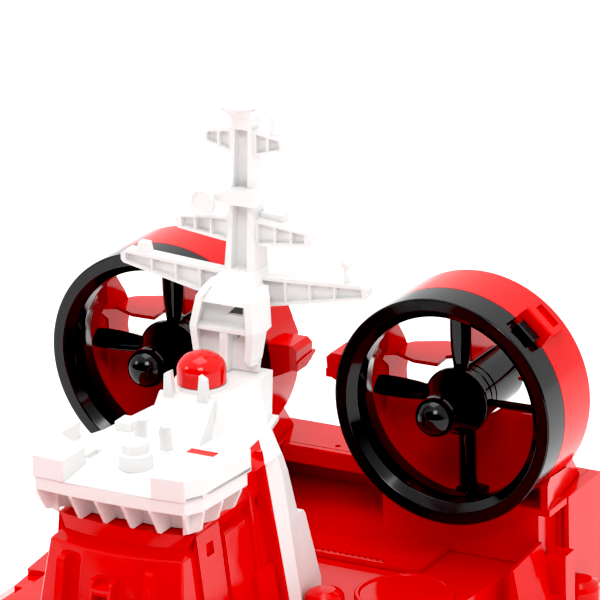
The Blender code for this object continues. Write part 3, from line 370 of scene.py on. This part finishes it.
def skirt_grid():
    """Skirt: its outer plan is walked in equal steps, 12 to a finger. A section point moves the plan
    inward by its inset plus its share of the crease, which is deepest between two fingers: the
    crease times one less the 0.7th power of the sine of half a turn over each finger."""
    fingers, finger_steps, crease, roundness, reach = 78, 12, 2.2, 0.7, 4
    plan = hull_plan(125.0, 260.0, 72.0, 28.0, 48, 40)
    loop = np.vstack([plan, plan[:1]])
    travelled = np.concatenate([[0.0], np.cumsum(np.hypot(*np.diff(loop, axis=0).T))])
    stops = np.linspace(0.0, travelled[-1], fingers * finger_steps, endpoint=False)
    line = np.column_stack([np.interp(stops, travelled, loop[:, axis]) for axis in (0, 1)])
    heading = np.roll(line, -reach, axis=0) - np.roll(line, reach, axis=0)
    heading /= np.hypot(*heading.T)[:, None]
    outward = np.column_stack([heading[:, 1], -heading[:, 0]])
    phase = np.arange(len(stops)) / finger_steps % 1.0
    depth = crease * (1.0 - np.sin(math.pi * phase) ** roundness)
    return level_rows([(line - outward * (inset + share * depth)[:, None], height)
                       for inset, height, share in skirt_section])


skirt = soften(surface("skirt_fingers", skirt_grid(), True), 0.0, smooth=50.0)
fit(skirt, skirt_black, "black_plastic", "craft", "skirt")

# Decks
# The deck tier, the plate on the foredeck and the raised plate at the stern are red
# mouldings with lightly rounded edges, clipped together from below.


def rounded_copy(node, edge, crease=28.0, smooth=17.0, reshape=None):
    """Merged copy of a solid that stands for it, with softened edges. A reshape function may move
    its points, an array in millimetres."""
    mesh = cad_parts[node].data.copy()
    shell = bmesh.new()
    shell.from_mesh(mesh)
    bmesh.ops.remove_doubles(shell, verts=shell.verts, dist=merge_distance)
    bmesh.ops.dissolve_limit(shell, angle_limit=flat_angle, verts=shell.verts, edges=shell.edges)
    shell.to_mesh(mesh)
    shell.free()
    mesh.materials.clear()
    if reshape:
        places = np.empty(3 * len(mesh.vertices))
        mesh.vertices.foreach_get("co", places)
        moved = reshape(places.reshape(-1, 3) / millimetre) * millimetre
        mesh.vertices.foreach_set("co", moved.ravel())
        mesh.update()
    return soften(new_piece(node + "_moulding", mesh), edge, crease, smooth)


for node, edge in (("main_deck", 0.6), ("foredeck", 0.5), ("rear_deck", 0.3)):
    fit(rounded_copy(node, edge), red_plastic, "red_plastic", "craft", node)

# Deck fittings
# A flat round cover with a raised rim lies before each duct, and a mushroom vent stands beside
# the tower on each side. Both are red mouldings pressed into the deck.

hands = ((1, "port"), (-1, "starboard"))
deck_top = 60.8
duct_x = 69.4


def turned(name, outline, place, axis, steps=96):
    """Turned body: point i of the outline, at radius r and distance d along the axis, makes the ring
    place + r (cos a, sin a) across the axis + d along it, with a in equal steps round the circle."""
    angles = np.linspace(0.0, 2.0 * math.pi, steps, endpoint=False)
    side = outline[:, :1] * np.cos(angles)
    rise = outline[:, :1] * np.sin(angles)
    along = outline[:, 1:] * np.ones(steps)
    parts = (side, rise, along) if axis == "z" else (side, along, rise)
    return soften(surface(name, np.stack(parts, axis=-1) + np.array(place)), 0.0, smooth=30.0)


cover_outline = rounded_outline([(0.0, 0.0, 0.0), (20.9, 0.0, 0.2), (20.9, 2.2, 0.8),
                                 (19.0, 2.2, 0.4), (18.6, 1.4, 0.3), (0.0, 1.4, 0.0)], False)
vent_outline = rounded_outline([(0.0, 0.0, 0.0), (7.6, 0.0, 0.2), (7.6, 4.6, 0.3), (8.3, 5.4, 0.3),
                                (8.3, 7.2, 0.6), (7.2, 8.8, 1.0), (4.6, 9.8, 1.4),
                                (0.0, 10.2, 0.0)], False)
for side, hand in hands:
    cover = turned("deck_cover_" + hand, cover_outline, (side * duct_x, 134.5, deck_top), "z")
    fit(cover, red_plastic, "red_plastic", "craft", "deck_disc_" + hand)
    vent = turned("vent_" + hand, vent_outline, (side * 46.7, 107.0, deck_top), "z")
    fit(vent, red_plastic, "red_plastic", "craft", "deck_vent_" + hand)

# Deck tread
# A band of crossed ridges along the front of the raised stern plate, moulded with it as a
# foothold. The crests catch the light.

ridge_section = [
    # distance across and height on one ridge
    (-0.55, 0.0), (-0.32, 0.42), (-0.12, 0.55), (0.12, 0.55), (0.32, 0.42), (0.55, 0.0),
]


def crossed_ridges():
    """Points and faces of the tread: ridges leave the front edge at equal steps and run back at 45
    degrees to starboard and to port, and those that would pass an end of the band are left out."""
    front, rear, top, pitch, half_width = 159.2, 168.2, 63.25, 2.9, 57.5
    depth = rear - front
    size = len(ridge_section)
    points = []
    faces = []
    for lean in (-1.0, 1.0):
        for start in np.arange(-half_width - depth, half_width + depth, pitch):
            end = start + lean * depth
            if max(abs(start), abs(end)) > half_width:
                continue
            first = len(points)
            for x, y in ((start, front), (end, rear)):
                points += [(x + across, y, top + height) for across, height in ridge_section]
            faces += [(first + k, first + k + 1, first + size + k + 1, first + size + k)
                      for k in range(size - 1)]
            faces.append((first, first + size, first + 2 * size - 1, first + size - 1))
            faces.append(tuple(first + k for k in reversed(range(size))))
            faces.append(tuple(first + size + k for k in range(size)))
    return points, faces


tread = soften(faced_outward("deck_tread", *crossed_ridges(), merge=False), 0.0, smooth=60.0)
fit(tread, red_plastic, "red_plastic", "craft")

# Side walls, stern beam and cradles
# Box-shaped red mouldings that carry the ducts, with crisp but slightly rounded edges.
# The beam has a flange ahead of it between the cradles.

for node, edge, smooth in (("side_wall_port", 0.5, 17.0), ("side_wall_starboard", 0.5, 17.0),
                           ("stern_beam", 0.5, 17.0), ("duct_cradle_port", 0.4, 5.0),
                           ("duct_cradle_starboard", 0.4, 5.0)):
    box_moulding = rounded_copy(node, edge, crease=20.0, smooth=smooth)
    fit(box_moulding, red_plastic, "red_plastic", "craft", node)


def rectangle(left, right, low, high):
    """Outline of a rectangle between two values of the first coordinate and two of the second."""
    return [(left, low), (right, low), (right, high), (left, high)]


def plate(name, outline, axis, start, end, edge):
    """Flat moulding: an outline of two coordinates carried along the third axis from start to end."""
    levels = [np.insert(np.array(outline, float), "xyz".index(axis), level, axis=1)
              for level in (start, end)]
    return soften(surface(name, np.array(levels)), edge)


beam_flange = plate("beam_flange", rectangle(207.4, 211.2, 79.0, 86.95), "x", -27.9, 27.9, 0.6)
fit(beam_flange, red_plastic, "red_plastic", "craft")

# Ducts
# Each red duct is a short tube behind the black ring, with the latch block that the ring's
# clip snaps into, a box on its inner side, and fins and a tail plate behind.

for hand in ("port", "starboard"):
    fit(rounded_copy("duct_" + hand, 0.3), red_plastic, "red_plastic", "craft", "duct_" + hand)

# Duct rings
# Each black ring clips on its duct's mouth. Its front is flat with a rounded lip inside, and
# its rim is cut away round the latch, where a ribbed clip stands.

black_plastic = moulded_plastic("black_gloss", (0.006, 0.006, 0.007), (0.004, 0.004, 0.005),
                                roughness=0.13, ripple=0.00005, mirror=0.45)
ring_fronts = [(hand, np.array((side * duct_x, 170.0, 130.0))) for side, hand in hands]
latch_angle = math.radians(47.0)
ring_outline = rounded_outline([(49.4, 0.0, 0.5), (50.0, 0.6, 0.4), (50.0, 6.5, 0.0),
                                (50.0, 6.6, 0.0), (50.0, 15.2, 0.2), (44.5, 15.2, 0.2),
                                (44.5, 20.5, 0.3), (42.8, 20.5, 0.3), (40.4, 10.0, 5.0),
                                (40.9, 3.9, 1.0), (44.6, 0.0, 1.2)], True, 7)
clip_profile = [
    # distance behind the ring's front, lift of the outer face
    (8.0, -0.5), (8.5, 0.0), (9.6, 0.0), (9.9, -0.5), (10.3, -0.5), (10.6, 0.0), (11.7, 0.0),
    (12.0, -0.5), (12.4, -0.5), (12.7, 0.0), (14.2, 0.0), (14.8, -0.6),
]


def ring_grid():
    """Ring: outline point (r, d) makes the circle r (cos a, sin a) at the distance d behind the
    front. Within the latch's half angle the rim behind the front band steps in to the latch floor,
    and a pair of close angles stands at each end of the step."""
    latch_half, edge_half, latch_floor = math.radians(9.2), 0.0006, 48.2
    rim_radius, front_band = 49.0, 6.55
    angles = np.linspace(-math.pi, math.pi, 144, endpoint=False)
    edges = [latch_angle + side * latch_half + nudge
             for side in (-1, 1) for nudge in (-edge_half, edge_half)]
    angles = np.sort(np.concatenate([angles, edges]))
    radius, distance = ring_outline[:, :1], ring_outline[:, 1:]
    on_rim = (radius > rim_radius) & (distance > front_band)
    in_notch = np.abs(angles - latch_angle) < latch_half
    radius = np.where(on_rim & in_notch, latch_floor, radius)
    return np.stack([radius * np.cos(angles), distance * np.ones(len(angles)),
                     radius * np.sin(angles)], axis=-1)


def clip_grid():
    """Clip: at each distance behind the front its section is a rectangle, whose point at t across
    the latch and radius r stands at x = r cos a - t sin a, z = r sin a + t cos a, with a as the
    latch's angle. The lift makes the ribs of its outer face."""
    half_width, inner, outer = 5.0, 46.6, 52.5
    rows = []
    for distance, lift in clip_profile:
        across, radius = np.array(rectangle(-half_width, half_width, inner, outer + lift)).T
        rows.append(np.column_stack([
            radius * math.cos(latch_angle) - across * math.sin(latch_angle),
            np.full(len(radius), distance),
            radius * math.sin(latch_angle) + across * math.cos(latch_angle)]))
    return np.array(rows)


for hand, front in ring_fronts:
    ring = soften(surface("ring_" + hand, ring_grid() + front, True), 0.0, smooth=32.0)
    fit(ring, black_plastic, "black_plastic", "craft", "duct_ring_" + hand)
    clip = soften(surface("ring_clip_" + hand, clip_grid() + front), 0.2)
    fit(clip, black_plastic, "black_plastic", "craft")

# Motor pods
# Each black pod is a short barrel behind the propeller, on a thin strut with a foot that is
# screwed to the duct's floor. A seam shows where its front cover is pressed on.

pod_outline = rounded_outline([(0.0, 15.9, 0.0), (2.0, 15.9, 0.3), (2.0, 23.6, 0.0),
                               (12.4, 23.6, 0.5), (12.4, 27.4, 0.2), (12.1, 27.5, 0.0),
                               (12.1, 27.9, 0.0), (12.5, 28.0, 0.2), (12.4, 57.0, 4.5),
                               (0.0, 57.0, 0.0)], False)
strut_rows = [
    # height from the axis, half width, front, rear
    (-6.0, 1.6, 25.0, 31.0), (-38.0, 1.6, 25.0, 31.0), (-41.5, 1.8, 24.8, 31.4),
    (-43.4, 2.8, 24.0, 32.4),
]


def strut_grid():
    """Strut: at each height its plan is a blunt oval. Across it is half the width times the 0.6th
    power of the cosine, with the cosine's sign, and along it the middle plus half the length times
    the sine."""
    bluntness = 0.6
    angles = np.linspace(0.0, 2.0 * math.pi, 24, endpoint=False)
    height, half, front, rear = np.array(strut_rows).T[:, :, None]
    across = half * np.sign(np.cos(angles)) * np.abs(np.cos(angles)) ** bluntness
    along = 0.5 * (front + rear) + 0.5 * (rear - front) * np.sin(angles)
    return np.stack([across, along, height * np.ones(len(angles))], axis=-1)


for hand, front in ring_fronts:
    x, y, z = front
    pod = turned("pod_" + hand, pod_outline, front, "y")
    fit(pod, black_plastic, "black_plastic", "craft", "motor_pod_" + hand)
    strut = soften(surface("pod_strut_" + hand, strut_grid() + front), 0.0, smooth=40.0)
    fit(strut, black_plastic, "black_plastic", "craft")
    foot = plate("pod_foot_" + hand, rectangle(x - 6.0, x + 6.0, y + 24.0, y + 33.0), "z",
                 z - 46.2, z - 43.2, 0.5)
    fit(foot, black_plastic, "black_plastic", "craft")

# Propellers
# A bullet nose with a seam behind it, a cone-shaped hub with a thick rim and four twisted
# blades, all one black moulding that turns freely on the pod's pin.

blade_count = 4
blade_stations = [
    # radius, chord, thickness, pitch in degrees
    (11.0, 6.4, 2.6, 48.0),
    (14.0, 6.6, 2.3, 48.0),
    (17.5, 7.8, 2.0, 47.0),
    (22.0, 8.8, 1.8, 46.0),
    (28.0, 9.4, 1.6, 45.0),
    (35.0, 9.4, 1.4, 44.0),
    (38.8, 9.0, 1.2, 43.0),
    (40.2, 8.2, 1.0, 43.0),
    (40.7, 6.8, 0.5, 43.0),
]


def hub_outline():
    """Hub, as radius and distance behind the ring's front: the nose is a quarter of an ellipse, a
    seam and a neck follow, the cone widens with the 1.35th power of the way along it, and the rim
    ends in the bore for the pin."""
    nose_radius, nose_length, nose_base = 8.6, 8.4, -4.2
    cone_radius, cone_growth, cone_start, cone_end, cone_power = 7.9, 6.2, -0.9, 14.2, 1.35
    angle = np.radians(np.linspace(0.0, 90.0, 16))
    nose = [nose_radius * np.sin(angle), nose_base - nose_length * np.cos(angle)]
    seam_and_neck = [(8.6, -2.9), (8.45, -2.7), (8.1, -2.65), (8.1, -2.3), (8.5, -2.2), (8.6, -2.0),
                     (8.6, -1.4), (8.45, -1.2), (8.0, -1.1)]
    share = np.linspace(0.0, 1.0, 12)
    cone = [cone_radius + cone_growth * share ** cone_power,
            cone_start + (cone_end - cone_start) * share]
    rim_and_bore = [(14.4, 14.3), (14.7, 14.5), (14.8, 14.8), (14.8, 15.9), (14.7, 16.2),
                    (14.3, 16.4), (12.9, 16.5), (12.6, 16.8), (12.6, 22.7), (12.3, 23.0),
                    (2.3, 23.0), (2.3, 15.6), (0.0, 15.6)]
    return np.vstack([np.column_stack(nose), seam_and_neck, np.column_stack(cone), rim_and_bore])


def blade_grid(turn):
    """Blade: at each radius its section is half the chord times the cosine across, and through it
    half the thickness times the sine, thinned by 0.3 of the cosine, less a camber of 0.06 of the
    chord times the squared sine. The pitch turns the section, and turn the blade about the axis."""
    thinning, camber, middle = 0.3, 0.06, 19.8
    around = np.linspace(0.0, 2.0 * math.pi, 28, endpoint=False)
    radius, chord, thick, pitch = np.array(blade_stations).T[:, :, None]
    pitch = np.radians(pitch)
    across = 0.5 * chord * np.cos(around)
    through = (0.5 * thick * np.sin(around) * (1.0 - thinning * np.cos(around))
               - camber * chord * np.sin(around) ** 2)
    x = across * np.cos(pitch) - through * np.sin(pitch)
    y = middle + across * np.sin(pitch) + through * np.cos(pitch)
    return np.stack([x * math.cos(turn) + radius * math.sin(turn), y,
                     radius * math.cos(turn) - x * math.sin(turn)], axis=-1)


for hand, front in ring_fronts:
    rotor = "propeller_" + hand
    hub = turned("propeller_hub_" + hand, hub_outline(), front, "y")
    fit(hub, black_plastic, "black_plastic", rotor, rotor)
    for number in range(blade_count):
        blade_points = blade_grid(math.radians(360.0 / blade_count * number)) + front
        blade = surface("propeller_blade_%s_%d" % (hand, number + 1), blade_points)
        fit(soften(blade, 0.0, smooth=50.0), black_plastic, "black_plastic", rotor)

# Tower
# The red tower is one hollow moulding: a flared box whose front bows forward, with panels and
# ribs, a stepped shoulder and a neck that stands back under the bridge.


def neck_set_back(points):
    """Front of the neck: its lowest ring goes back to the rear of the shoulder, the ring above it a
    little, and its top ring goes back and down to a ledge."""
    front_limit, near = 32.0, 0.2
    foot_height, waist_height, top_from, ledge_height = 115.3, 121.3, 126.0, 121.7
    foot_move, waist_move, top_move = 4.6, 0.5, 5.0
    front = points[:, 1] < front_limit
    height = points[:, 2]
    low = front & (np.abs(height - foot_height) < near)
    middle = front & (np.abs(height - waist_height) < near)
    high = front & (height > top_from)
    moved = points.copy()
    moved[low, 1] += foot_move
    moved[middle, 1] += waist_move
    moved[high, 1] += top_move
    moved[high, 2] = ledge_height
    return moved


tower = rounded_copy("tower", 0.4, crease=18.0, smooth=14.0, reshape=neck_set_back)
fit(tower, red_plastic, "red_plastic", "craft", "tower")

# Dome
# The radar dome is a short drum with a round cap, a red moulding that is pressed on its stand.
# It is glossier than the hull and has no ripple.

dome_red = moulded_plastic("red_dome", (0.80, 0.010, 0.010), (0.74, 0.008, 0.008),
                           roughness=0.10, ripple=0.0, mirror=0.42)
dome_radius = 10.2
drum_height = 5.6
cap_height = 7.4
cap_angle = np.radians(np.linspace(0.0, 90.0, 16))
dome_outline = np.vstack([
    [(0.0, 0.0), (9.9, 0.0), (dome_radius, 0.3), (dome_radius, 2.0), (dome_radius, 4.0)],
    np.column_stack([dome_radius * np.cos(cap_angle), drum_height + cap_height * np.sin(cap_angle)]),
])
dome = turned("radar_dome", dome_outline, (0.0, 93.0, 159.9), "z")
fit(dome, dome_red, "red_plastic", "craft", "dome")

# White superstructure
# The shell behind the tower, the stand under the dome and the mast are three white mouldings
# with a satin gloss, pushed together where they meet.

white_plastic = moulded_plastic("white_gloss", (0.86, 0.855, 0.845), (0.83, 0.825, 0.815),
                                roughness=0.24, ripple=0.00005, mirror=0.4)


def narrow_foot(points):
    """Stand: the foot is drawn in and set down on the deck floor."""
    foot_from, foot_top, drawn_in, floor_height = 23.0, 144.6, 0.905, 142.4
    moved = points.copy()
    moved[np.abs(points[:, 0]) > foot_from, 0] *= drawn_in
    moved[points[:, 2] < foot_top, 2] = floor_height
    return moved


def sunk_ears(points):
    """Shell: the two blocks on its top edge sink into it."""
    ears_from, sunk_to, drawn_in = 134.6, 134.0, 0.97
    moved = points.copy()
    ears = points[:, 2] > ears_from
    moved[ears, 2] = sunk_to
    moved[ears, 0] *= drawn_in
    return moved


def short_peg(points):
    """Mast: the peg on the starboard lower arm is cut down and made thinner."""
    peg_bottom, peg_top, peg_side, peg_x, cut, thinner = 203.0, 207.5, -44.0, -47.6, 5.2, 0.7
    x, z = points[:, 0], points[:, 2]
    peg = (z > peg_bottom) & (z < peg_top) & (x < peg_side)
    moved = points.copy()
    moved[peg, 2] -= cut
    moved[peg, 0] = peg_x + (x[peg] - peg_x) * thinner
    return moved


for node, edge, reshape in (("aft_tower", 0.6, sunk_ears), ("dome_stand", 0.5, narrow_foot),
                            ("mast", 0.35, short_peg)):
    white_moulding = rounded_copy(node, edge, crease=20.0, reshape=reshape)
    fit(white_moulding, white_plastic, "white_plastic", "craft", node)

# Bridge deck
# The white deck has a lip, a floor and a raised edge that is open in front and ends at the
# tower's joint. The floor has a slot, a slit and a hatch, and carries a capstan, a locker and
# two bent stubs.


def pierced_plate(name, outline, holes, low, high, edge):
    """Flat moulding with holes: the area between the outline and the holes, carried up from low
    to high."""
    mesh = bpy.data.meshes.new(name)
    shell = bmesh.new()
    rims = []
    for loop in [outline] + holes:
        corners = [shell.verts.new((x * millimetre, y * millimetre, low * millimetre))
                   for x, y in loop]
        rims += [shell.edges.new(pair) for pair in zip(corners, corners[1:] + corners[:1])]
    filled = bmesh.ops.triangle_fill(shell, edges=rims, use_beauty=True)
    faces = [part for part in filled["geom"] if isinstance(part, bmesh.types.BMFace)]
    raised = bmesh.ops.extrude_face_region(shell, geom=faces)
    lifted = [part for part in raised["geom"] if isinstance(part, bmesh.types.BMVert)]
    bmesh.ops.translate(shell, verts=lifted, vec=(0.0, 0.0, (high - low) * millimetre))
    bmesh.ops.recalc_face_normals(shell, faces=shell.faces)
    bmesh.ops.dissolve_limit(shell, angle_limit=flat_angle, verts=shell.verts, edges=shell.edges)
    shell.to_mesh(mesh)
    shell.free()
    return soften(new_piece(name, mesh), edge, 20.0)


def both_sides(half):
    """Closed outline from its port half, which starts and ends near the middle."""
    return half + [(-x, y) for x, y in reversed(half)]


lip_bottom = 134.4
lip_top = 140.3
floor_bottom = lip_top - 0.1
floor_top = 142.5
fittings_bottom = 142.2
coaming_top = 149.8
lip_half = [(8.0, 15.6), (19.0, 15.9), (34.4, 17.1), (38.8, 24.7), (41.0, 56.3), (34.0, 59.4),
            (28.5, 62.0), (28.5, 96.0)]
deck_half = [(19.9, 36.0), (20.0, 15.4), (35.0, 16.5), (39.4, 24.1), (41.9, 58.2), (35.4, 60.2),
             (32.4, 68.0), (31.4, 76.0), (28.0, 100.0), (25.0, 111.8)]
slot = rectangle(10.4, 23.2, 60.0, 65.0)
slit = rectangle(27.0, 28.0, 40.0, 46.0)
hatch = rectangle(-24.0, -21.0, 38.0, 48.0)
deck_lip = pierced_plate("deck_lip", both_sides(lip_half), [slot], lip_bottom, lip_top, 0.5)
fit(deck_lip, white_plastic, "white_plastic", "craft", "bridge_deck")
deck_floor = pierced_plate("deck_floor", both_sides(deck_half), [slot, slit, hatch],
                           floor_bottom, floor_top, 0.3)
fit(deck_floor, white_plastic, "white_plastic", "craft")

coaming = [(20.0, 15.3), (35.0, 16.5), (39.4, 24.1), (41.9, 58.2), (40.0, 58.8), (36.4, 56.6),
           (36.4, 42.0), (32.0, 38.0), (20.0, 33.0)]
for side, hand in hands:
    edge_wall = pierced_plate("coaming_" + hand, [(side * x, y) for x, y in coaming], [],
                              lip_top, coaming_top, 0.5)
    fit(edge_wall, white_plastic, "white_plastic", "craft")

capstan_outline = rounded_outline([(0.0, 0.0, 0.0), (7.0, 0.0, 0.2), (7.0, 6.4, 0.5),
                                   (5.4, 6.6, 0.3), (5.4, 11.0, 1.0), (3.0, 11.1, 0.3),
                                   (2.6, 10.4, 0.3), (0.0, 10.4, 0.0)], False)
capstan = turned("capstan", capstan_outline, (0.0, 38.5, fittings_bottom), "z")
fit(capstan, white_plastic, "white_plastic", "craft")
locker = pierced_plate("deck_locker", rectangle(-28.0, -20.6, 69.0, 77.4), [],
                       fittings_bottom, 146.4, 0.5)
fit(locker, white_plastic, "white_plastic", "craft")


def stub_grid(foot, bend, top):
    """Bent stub: level circles round its foot, its bend and its top, which a smaller one closes."""
    angles = np.linspace(0.0, 2.0 * math.pi, 32, endpoint=False)
    circle = np.column_stack([np.cos(angles), np.sin(angles)])
    levels = [
        # middle, height, radius
        (foot, 142.0, 2.6), (foot, 146.0, 2.6), (bend, 151.5, 2.5), (top, 155.4, 2.35),
        (top, 156.0, 1.9),
    ]
    return level_rows([(middle + radius * circle, height) for middle, height, radius in levels])


stub_lines = [
    # middle of the foot, of the bend and of the top
    ((-11.5, 62.0), (-10.0, 60.0), (-6.5, 56.5)),
    ((1.6, 60.0), (3.0, 57.0), (6.0, 53.5)),
]
for number, line in enumerate(stub_lines, 1):
    stub = soften(surface("horn_%d" % number, stub_grid(*line)), 0.0, smooth=50.0)
    fit(stub, white_plastic, "white_plastic", "craft")

# Wall and fins under the bridge
# Under the lip a white wall stands back on the red neck. Thin three-sided fins brace the lip
# against it, four in front and three on each side, with a deeper one at each front corner.

root = lip_bottom + 0.3
wall_half = [(29.3, 60.0), (29.3, 36.4), (28.0, 33.4), (23.0, 31.9), (12.0, 30.6)]
wall = plate("bridge_wall", both_sides(wall_half), "z", 121.9, root, 0.4)
fit(wall, white_plastic, "white_plastic", "craft")

fin_half = 0.7
fin_edge = 0.25
front_fin = [(15.9, root), (15.9, 133.8), (16.8, 132.4), (22.4, 122.9), (23.2, 122.4),
             (32.0, 122.1), (32.0, root)]
corner_fin = [(0.0, root), (0.2, 133.4), (4.6, 125.2), (5.6, 124.6), (18.6, 122.1), (18.6, root)]


def corner_fin_grid(side):
    """Corner fin: a point of its outline, at a distance and a height, stands that far inward from
    the lip's front corner, and half the thickness to either side of the line inward."""
    corner = np.array((33.9, 16.9))
    inward = np.array((-5.2, 17.2)) / math.hypot(5.2, 17.2)
    beside = np.array((inward[1], -inward[0]))
    distance, height = np.array(corner_fin).T
    faces = []
    for offset in (-fin_half, fin_half):
        plan = corner + inward * distance[:, None] + beside * offset
        faces.append(np.column_stack([side * plan[:, 0], plan[:, 1], height]))
    return np.array(faces)


def side_fin(side, y):
    """Outline of a side fin: it reaches the side of the lip, which widens by 0.07 of the way aft."""
    widening, lip_front, front_reach = 0.07, 24.7, 38.6
    reach = front_reach + widening * (y - lip_front)
    return [(side * x, z) for x, z in ((28.8, root), (reach, root), (reach, 133.6), (37.2, 126.4),
                                       (36.4, 125.8), (28.8, 122.6))]


fins = [plate("front_fin_%d" % number, front_fin, "x", x - fin_half, x + fin_half, fin_edge)
        for number, x in enumerate((-17.6, -5.9, 6.4, 19.0), 1)]
for side, hand in hands:
    fins.append(soften(surface("corner_fin_" + hand, corner_fin_grid(side)), fin_edge))
    for number, y in enumerate((25.2, 38.5, 51.8), 1):
        fins.append(plate("side_fin_%s_%d" % (hand, number), side_fin(side, y), "y",
                          y - fin_half, y + fin_half, fin_edge))
for fin in fins:
    fit(fin, white_plastic, "white_plastic", "craft")

# Bridge floor ramp
# Between the raised corners the deck floor falls gently to the front lip. The slope is part of
# the white deck moulding.

ramp_outline = [(15.6, 140.2), (36.2, 142.0), (36.2, 142.53), (15.8, 140.75)]
floor_ramp = plate("floor_ramp", ramp_outline, "x", -19.95, 19.95, 0.1)
fit(floor_ramp, white_plastic, "white_plastic", "craft")

# Tops of the neck and the shell
# Beside the narrow rear of the deck the red neck and the white shell behind it reach up to the
# floor's edge, and the red neck shows as a wall in the slot.

cap_bottom = 133.8
cap_top = 142.2
cap_sides = [
    # name, finish, slot, points of the port side at the bottom and at the top from front to rear
    ("neck_top", red_plastic, "red_plastic", [(35.6, 59.6), (35.9, 70.0), (36.0, 79.6)],
     [(35.0, 60.4), (31.9, 72.0), (29.9, 85.8)]),
    ("shell_top", white_plastic, "white_plastic",
     [(36.0, 80.0), (36.1, 86.0), (36.0, 89.8), (35.4, 94.8)],
     [(29.9, 86.2), (29.4, 90.0), (28.6, 96.0), (27.8, 99.8)]),
]
for name, finish, material_slot, low_side, high_side in cap_sides:
    cap_grid = level_rows([(both_sides(low_side), cap_bottom), (both_sides(high_side), cap_top)])
    fit(soften(surface(name, cap_grid), 0.2), finish, material_slot, "craft")
slot_wall = pierced_plate("slot_wall", rectangle(10.2, 23.4, 64.2, 65.2), [], 137.8, 142.3, 0.1)
fit(slot_wall, red_plastic, "red_plastic", "craft")
